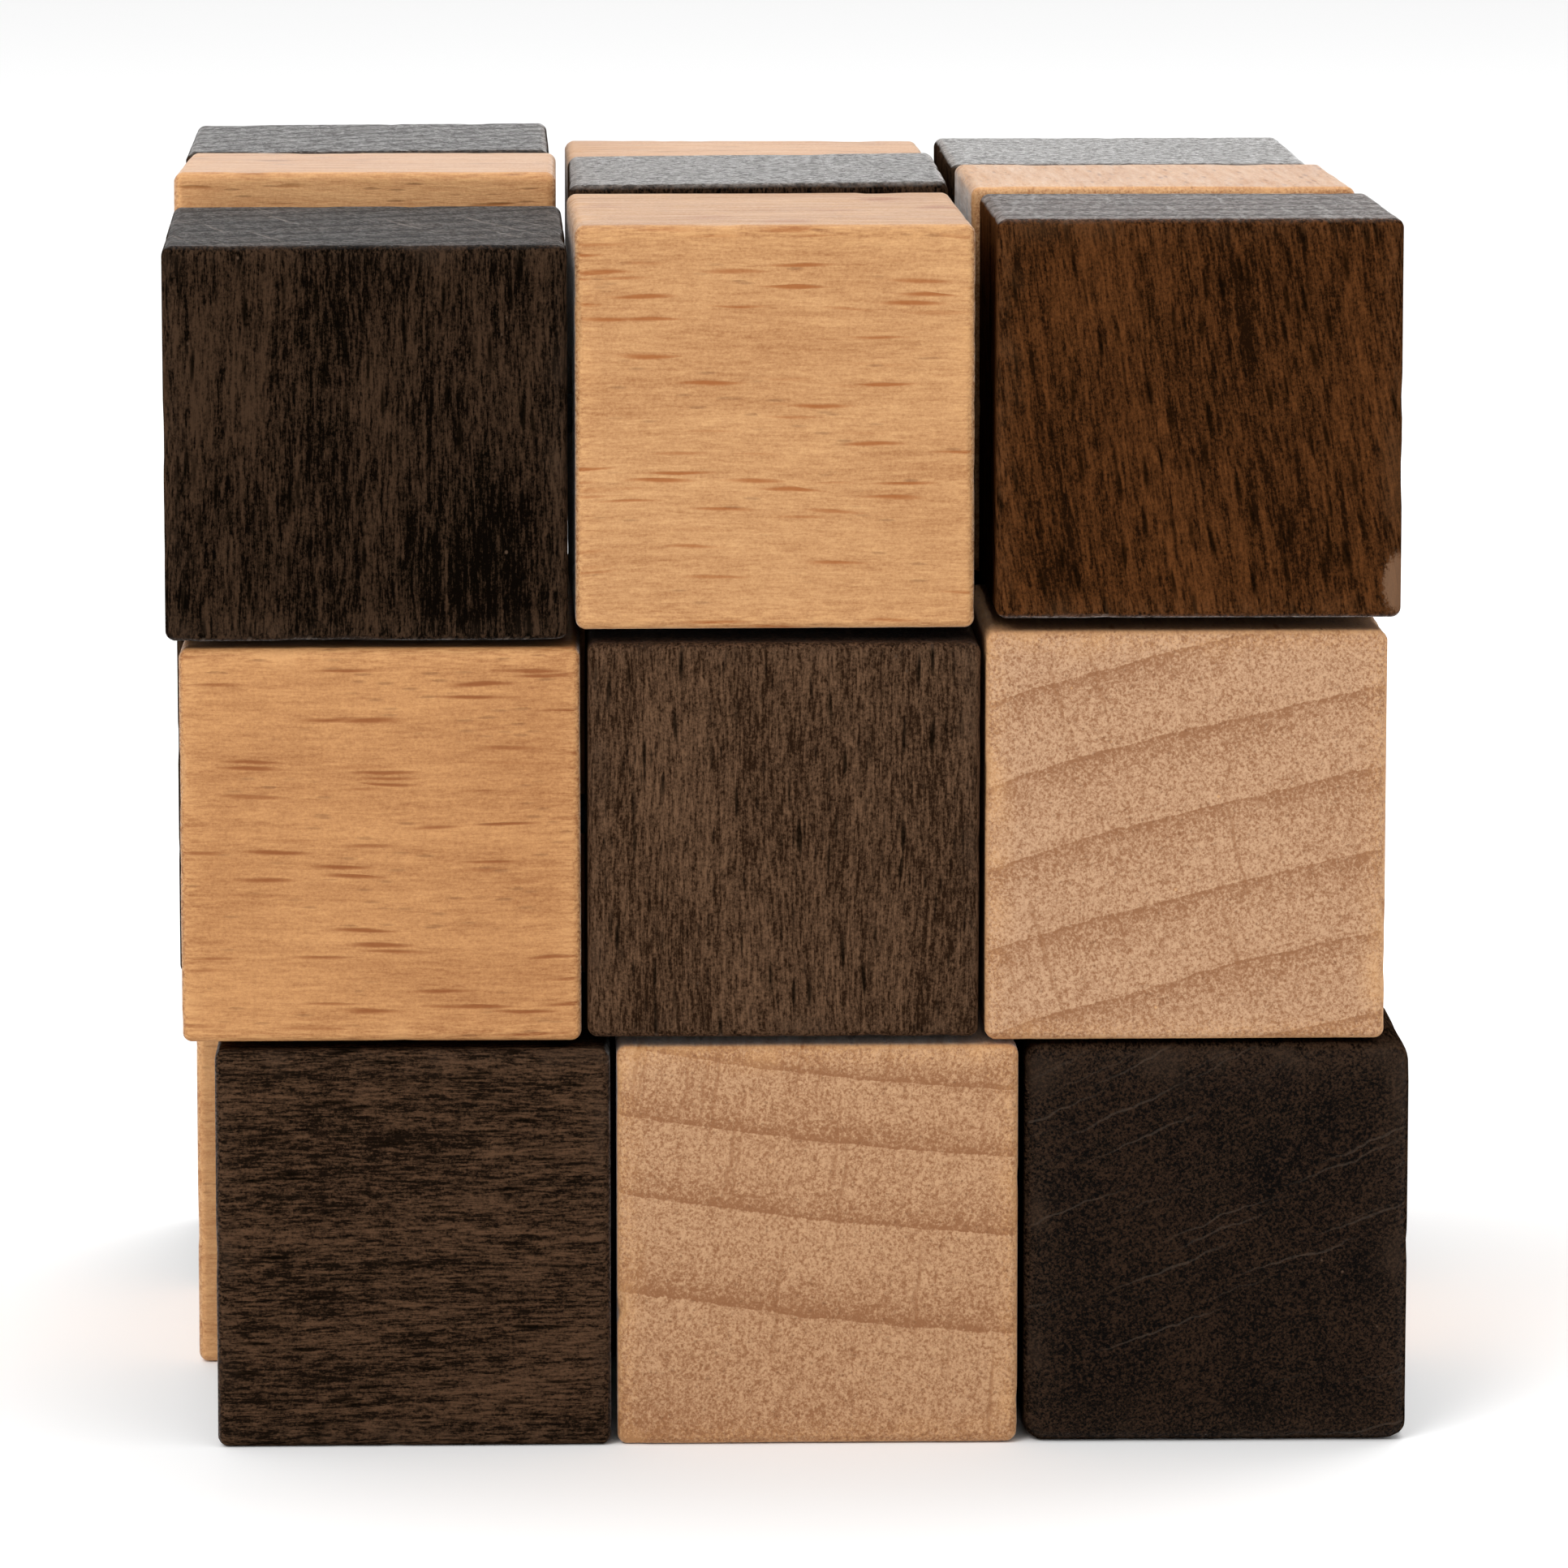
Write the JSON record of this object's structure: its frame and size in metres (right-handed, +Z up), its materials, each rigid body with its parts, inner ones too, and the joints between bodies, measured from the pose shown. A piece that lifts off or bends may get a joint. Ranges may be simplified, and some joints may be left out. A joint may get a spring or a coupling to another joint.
{
  "type": "snake cube puzzle",
  "caption": "Snake cube puzzle: dark and natural wooden cubelets threaded on one elastic cord, packed into a cube that stands on its flat underside.",
  "frame": {"origin": "middle of the underside of cubelet_23, the centre cubelet of the bottom layer, on the surface the block stands on", "axes": "+Z up, +X to the right and +Y to the back of the packed block"},
  "size_m": [0.061, 0.06, 0.0609],
  "materials": {
    "stained_wood": "dark brown stain, sanded, unvarnished",
    "natural_wood": "natural beech, sanded, unvarnished",
    "elastic_cord": "elastic core in a woven black sleeve"
  },
  "bodies": {
    "cubelet_23": {"cubelet_23": "stained_wood"},
    "cubelet_01": {"cubelet_01": "stained_wood", "cord_knot_first": "elastic_cord"},
    "cubelet_02": {"cubelet_02": "natural_wood"},
    "cubelet_03": {"cubelet_03": "stained_wood"},
    "cubelet_04": {"cubelet_04": "natural_wood"},
    "cubelet_05": {"cubelet_05": "stained_wood"},
    "cubelet_06": {"cubelet_06": "natural_wood"},
    "cubelet_07": {"cubelet_07": "stained_wood"},
    "cubelet_08": {"cubelet_08": "natural_wood"},
    "cubelet_09": {"cubelet_09": "stained_wood"},
    "cubelet_10": {"cubelet_10": "natural_wood"},
    "cubelet_11": {"cubelet_11": "stained_wood"},
    "cubelet_12": {"cubelet_12": "natural_wood"},
    "cubelet_13": {"cubelet_13": "stained_wood"},
    "cubelet_14": {"cubelet_14": "natural_wood"},
    "cubelet_15": {"cubelet_15": "stained_wood"},
    "cubelet_16": {"cubelet_16": "natural_wood"},
    "cubelet_17": {"cubelet_17": "stained_wood"},
    "cubelet_18": {"cubelet_18": "natural_wood"},
    "cubelet_19": {"cubelet_19": "stained_wood"},
    "cubelet_20": {"cubelet_20": "natural_wood"},
    "cubelet_21": {"cubelet_21": "stained_wood"},
    "cubelet_22": {"cubelet_22": "natural_wood"},
    "cubelet_24": {"cubelet_24": "natural_wood"},
    "cubelet_25": {"cubelet_25": "stained_wood"},
    "cubelet_26": {"cubelet_26": "natural_wood"},
    "cubelet_27": {"cubelet_27": "stained_wood", "cord_knot_last": "elastic_cord"},
    "cord_01_02": {"cord_01_02": "elastic_cord"},
    "cord_02_03": {"cord_02_03": "elastic_cord"},
    "cord_03_04": {"cord_03_04": "elastic_cord"},
    "cord_04_05": {"cord_04_05": "elastic_cord"},
    "cord_05_06": {"cord_05_06": "elastic_cord"},
    "cord_06_07": {"cord_06_07": "elastic_cord"},
    "cord_07_08": {"cord_07_08": "elastic_cord"},
    "cord_08_09": {"cord_08_09": "elastic_cord"},
    "cord_09_10": {"cord_09_10": "elastic_cord"},
    "cord_10_11": {"cord_10_11": "elastic_cord"},
    "cord_11_12": {"cord_11_12": "elastic_cord"},
    "cord_12_13": {"cord_12_13": "elastic_cord"},
    "cord_13_14": {"cord_13_14": "elastic_cord"},
    "cord_14_15": {"cord_14_15": "elastic_cord"},
    "cord_15_16": {"cord_15_16": "elastic_cord"},
    "cord_16_17": {"cord_16_17": "elastic_cord"},
    "cord_17_18": {"cord_17_18": "elastic_cord"},
    "cord_18_19": {"cord_18_19": "elastic_cord"},
    "cord_19_20": {"cord_19_20": "elastic_cord"},
    "cord_20_21": {"cord_20_21": "elastic_cord"},
    "cord_21_22": {"cord_21_22": "elastic_cord"},
    "cord_22_23": {"cord_22_23": "elastic_cord"},
    "cord_23_24": {"cord_23_24": "elastic_cord"},
    "cord_24_25": {"cord_24_25": "elastic_cord"},
    "cord_25_26": {"cord_25_26": "elastic_cord"},
    "cord_26_27": {"cord_26_27": "elastic_cord"}
  },
  "joints": [
    {"name": "link_09_10_turn", "type": "hinge", "parent": "cord_09_10", "child": "cubelet_09", "pos_m": [0.02005, -0.0199, 0.05022], "axis": [0, 0, 1], "continuous": true},
    {"name": "link_18_19_turn", "type": "hinge", "parent": "cord_18_19", "child": "cubelet_18", "pos_m": [-0.0201, 0.02, 0.02977], "axis": [0, 0, 1], "continuous": true},
    {"name": "link_09_10_stretch", "type": "slide", "parent": "cubelet_10", "child": "cord_09_10", "axis": [0, 0, 1], "range_m": [0, 0.006], "stiffness_N_per_m": 60, "springref_m": -0.01},
    {"name": "link_18_19_stretch", "type": "slide", "parent": "cubelet_19", "child": "cord_18_19", "axis": [0, 0, 1], "range_m": [0, 0.006], "stiffness_N_per_m": 60, "springref_m": -0.01},
    {"name": "link_01_02_stretch", "type": "slide", "parent": "cubelet_02", "child": "cord_01_02", "axis": [0, 1, 0], "range_m": [0, 0.006], "stiffness_N_per_m": 60, "springref_m": -0.01},
    {"name": "link_01_02_turn", "type": "hinge", "parent": "cord_01_02", "child": "cubelet_01", "pos_m": [-0.0207, 0.02, 0.05075], "axis": [0, 1, 0], "range_deg": [0, 4]},
    {"name": "link_02_03_stretch", "type": "slide", "parent": "cubelet_03", "child": "cord_02_03", "axis": [0, 1, 0], "range_m": [0, 0.006], "stiffness_N_per_m": 60, "springref_m": -0.01},
    {"name": "link_02_03_turn", "type": "hinge", "parent": "cord_02_03", "child": "cubelet_02", "pos_m": [-0.0205, 0.0001, 0.05072], "axis": [0, 1, 0], "range_deg": [0, 2.7]},
    {"name": "link_03_04_stretch", "type": "slide", "parent": "cubelet_04", "child": "cord_03_04", "axis": [-1, 0, 0], "range_m": [0, 0.006], "stiffness_N_per_m": 60, "springref_m": -0.01},
    {"name": "link_03_04_turn", "type": "hinge", "parent": "cord_03_04", "child": "cubelet_03", "pos_m": [-0.02032, -0.02005, 0.04949], "axis": [1, 0, 0], "range_deg": [0, 1.55]},
    {"name": "link_04_05_stretch", "type": "slide", "parent": "cubelet_05", "child": "cord_04_05", "axis": [0, -1, 0], "range_m": [0, 0.006], "stiffness_N_per_m": 60, "springref_m": -0.01},
    {"name": "link_04_05_turn", "type": "hinge", "parent": "cord_04_05", "child": "cubelet_04", "pos_m": [-0.00065, -0.01985, 0.05004], "axis": [0, 1, 0], "range_deg": [0, 2.65]},
    {"name": "link_05_06_stretch", "type": "slide", "parent": "cubelet_06", "child": "cord_05_06", "axis": [0, -1, 0], "range_m": [0, 0.006], "stiffness_N_per_m": 60, "springref_m": -0.01},
    {"name": "link_05_06_turn", "type": "hinge", "parent": "cord_05_06", "child": "cubelet_05", "pos_m": [-0.00062, 0.00008, 0.05053], "axis": [0, 1, 0], "range_deg": [0, 3.45]},
    {"name": "link_06_07_stretch", "type": "slide", "parent": "cubelet_07", "child": "cord_06_07", "axis": [-1, 0, 0], "range_m": [0, 0.006], "stiffness_N_per_m": 60, "springref_m": -0.01},
    {"name": "link_06_07_turn", "type": "hinge", "parent": "cord_06_07", "child": "cubelet_06", "pos_m": [-0.0006, 0.01994, 0.0499], "axis": [-1, 0, 0], "range_deg": [0, 3]},
    {"name": "link_07_08_stretch", "type": "slide", "parent": "cubelet_08", "child": "cord_07_08", "axis": [0, 1, 0], "range_m": [0, 0.006], "stiffness_N_per_m": 60, "springref_m": -0.01},
    {"name": "link_07_08_turn", "type": "hinge", "parent": "cord_07_08", "child": "cubelet_07", "pos_m": [0.0194, 0.02002, 0.05], "axis": [0, 1, 0], "range_deg": [0, 3.75]},
    {"name": "link_08_09_stretch", "type": "slide", "parent": "cubelet_09", "child": "cord_08_09", "axis": [0, 1, 0], "range_m": [0, 0.006], "stiffness_N_per_m": 60, "springref_m": -0.01},
    {"name": "link_08_09_turn", "type": "hinge", "parent": "cord_08_09", "child": "cubelet_08", "pos_m": [0.0197, 0.00003, 0.05015], "axis": [0, 1, 0], "range_deg": [0, 3.7]},
    {"name": "link_10_11_stretch", "type": "slide", "parent": "cubelet_11", "child": "cord_10_11", "axis": [1, 0, 0], "range_m": [0, 0.006], "stiffness_N_per_m": 60, "springref_m": -0.01},
    {"name": "link_10_11_turn", "type": "hinge", "parent": "cord_10_11", "child": "cubelet_10", "pos_m": [0.01948, -0.01995, 0.03002], "axis": [1, 0, 0], "range_deg": [0, 0.95]},
    {"name": "link_11_12_stretch", "type": "slide", "parent": "cubelet_12", "child": "cord_11_12", "axis": [1, 0, 0], "range_m": [0, 0.006], "stiffness_N_per_m": 60, "springref_m": -0.01},
    {"name": "link_11_12_turn", "type": "hinge", "parent": "cord_11_12", "child": "cubelet_11", "pos_m": [-0.0001, -0.01985, 0.02987], "axis": [1, 0, 0], "range_deg": [0, 0.9]},
    {"name": "link_12_13_stretch", "type": "slide", "parent": "cubelet_13", "child": "cord_12_13", "axis": [0, -1, 0], "range_m": [0, 0.006], "stiffness_N_per_m": 60, "springref_m": -0.01},
    {"name": "link_12_13_turn", "type": "hinge", "parent": "cord_12_13", "child": "cubelet_12", "pos_m": [-0.01958, -0.01985, 0.02974], "axis": [0, -1, 0], "range_deg": [0, 2]},
    {"name": "link_13_14_stretch", "type": "slide", "parent": "cubelet_14", "child": "cord_13_14", "axis": [-1, 0, 0], "range_m": [0, 0.006], "stiffness_N_per_m": 60, "springref_m": -0.01},
    {"name": "link_13_14_turn", "type": "hinge", "parent": "cord_13_14", "child": "cubelet_13", "pos_m": [-0.0205, 0, 0.0298], "axis": [-1, 0, 0], "range_deg": [0, 0.95]},
    {"name": "link_14_15_stretch", "type": "slide", "parent": "cubelet_15", "child": "cord_14_15", "axis": [-1, 0, 0], "range_m": [0, 0.006], "stiffness_N_per_m": 60, "springref_m": -0.01},
    {"name": "link_14_15_turn", "type": "hinge", "parent": "cord_14_15", "child": "cubelet_14", "pos_m": [-0.00048, 0, 0.0298], "axis": [-1, 0, 0], "range_deg": [0, 0.95]},
    {"name": "link_15_16_stretch", "type": "slide", "parent": "cubelet_16", "child": "cord_15_16", "axis": [0, -1, 0], "range_m": [0, 0.006], "stiffness_N_per_m": 60, "springref_m": -0.01},
    {"name": "link_15_16_turn", "type": "hinge", "parent": "cord_15_16", "child": "cubelet_15", "pos_m": [0.02, 0, 0.02977], "axis": [0, 1, 0], "range_deg": [0, 1]},
    {"name": "link_16_17_stretch", "type": "slide", "parent": "cubelet_17", "child": "cord_16_17", "axis": [1, 0, 0], "range_m": [0, 0.006], "stiffness_N_per_m": 60, "springref_m": -0.01},
    {"name": "link_16_17_turn", "type": "hinge", "parent": "cord_16_17", "child": "cubelet_16", "pos_m": [0.02015, 0.02, 0.02977], "axis": [-1, 0, 0], "range_deg": [0, 1.75]},
    {"name": "link_17_18_stretch", "type": "slide", "parent": "cubelet_18", "child": "cord_17_18", "axis": [1, 0, 0], "range_m": [0, 0.006], "stiffness_N_per_m": 60, "springref_m": -0.01},
    {"name": "link_17_18_turn", "type": "hinge", "parent": "cord_17_18", "child": "cubelet_17", "pos_m": [0.00005, 0.0199, 0.02977], "axis": [-1, 0, 0], "range_deg": [0, 1.95]},
    {"name": "link_19_20_stretch", "type": "slide", "parent": "cubelet_20", "child": "cord_19_20", "axis": [-1, 0, 0], "range_m": [0, 0.006], "stiffness_N_per_m": 60, "springref_m": -0.01},
    {"name": "link_19_20_turn", "type": "hinge", "parent": "cord_19_20", "child": "cubelet_19", "pos_m": [-0.02005, 0.0201, 0.0098], "axis": [-1, 0, 0], "range_deg": [0, 2.1]},
    {"name": "link_20_21_stretch", "type": "slide", "parent": "cubelet_21", "child": "cord_20_21", "axis": [-1, 0, 0], "range_m": [0, 0.006], "stiffness_N_per_m": 60, "springref_m": -0.01},
    {"name": "link_20_21_turn", "type": "hinge", "parent": "cord_20_21", "child": "cubelet_20", "pos_m": [0.00015, 0.0199, 0.00975], "axis": [-1, 0, 0], "range_deg": [0, 1.85]},
    {"name": "link_21_22_stretch", "type": "slide", "parent": "cubelet_22", "child": "cord_21_22", "axis": [0, 1, 0], "range_m": [0, 0.006], "stiffness_N_per_m": 60, "springref_m": -0.01},
    {"name": "link_21_22_turn", "type": "hinge", "parent": "cord_21_22", "child": "cubelet_21", "pos_m": [0.0204, 0.02, 0.0098], "axis": [0, 1, 0], "range_deg": [0, 1]},
    {"name": "link_22_23_stretch", "type": "slide", "parent": "cubelet_23", "child": "cord_22_23", "axis": [1, 0, 0], "range_m": [0, 0.006], "stiffness_N_per_m": 60, "springref_m": -0.01},
    {"name": "link_22_23_turn", "type": "hinge", "parent": "cord_22_23", "child": "cubelet_22", "pos_m": [0.0201, 0, 0.00978], "axis": [1, 0, 0], "range_deg": [0, 0.3]},
    {"name": "link_23_24_stretch", "type": "slide", "parent": "cubelet_23", "child": "cord_23_24", "axis": [-1, 0, 0], "range_m": [0, 0.006], "stiffness_N_per_m": 60, "springref_m": -0.01},
    {"name": "link_23_24_turn", "type": "hinge", "parent": "cord_23_24", "child": "cubelet_24", "pos_m": [-0.01975, -0.00005, 0.0098], "axis": [-1, 0, 0], "range_deg": [0, 0.3]},
    {"name": "link_24_25_stretch", "type": "slide", "parent": "cubelet_24", "child": "cord_24_25", "axis": [0, -1, 0], "range_m": [0, 0.006], "stiffness_N_per_m": 60, "springref_m": -0.01},
    {"name": "link_24_25_turn", "type": "hinge", "parent": "cord_24_25", "child": "cubelet_25", "pos_m": [-0.01812, -0.01985, 0.00985], "axis": [0, -1, 0], "range_deg": [0, 0.15]},
    {"name": "link_25_26_stretch", "type": "slide", "parent": "cubelet_25", "child": "cord_25_26", "axis": [1, 0, 0], "range_m": [0, 0.006], "stiffness_N_per_m": 60, "springref_m": -0.01},
    {"name": "link_25_26_turn", "type": "hinge", "parent": "cord_25_26", "child": "cubelet_26", "pos_m": [0.0016, -0.0199, 0.00989], "axis": [-1, 0, 0], "range_deg": [0, 0.9]},
    {"name": "link_26_27_stretch", "type": "slide", "parent": "cubelet_26", "child": "cord_26_27", "axis": [1, 0, 0], "range_m": [0, 0.006], "stiffness_N_per_m": 60, "springref_m": -0.01},
    {"name": "link_26_27_turn", "type": "hinge", "parent": "cord_26_27", "child": "cubelet_27", "pos_m": [0.02115, -0.02005, 0.00989], "axis": [1, 0, 0], "range_deg": [0, 0.9]}
  ]
}
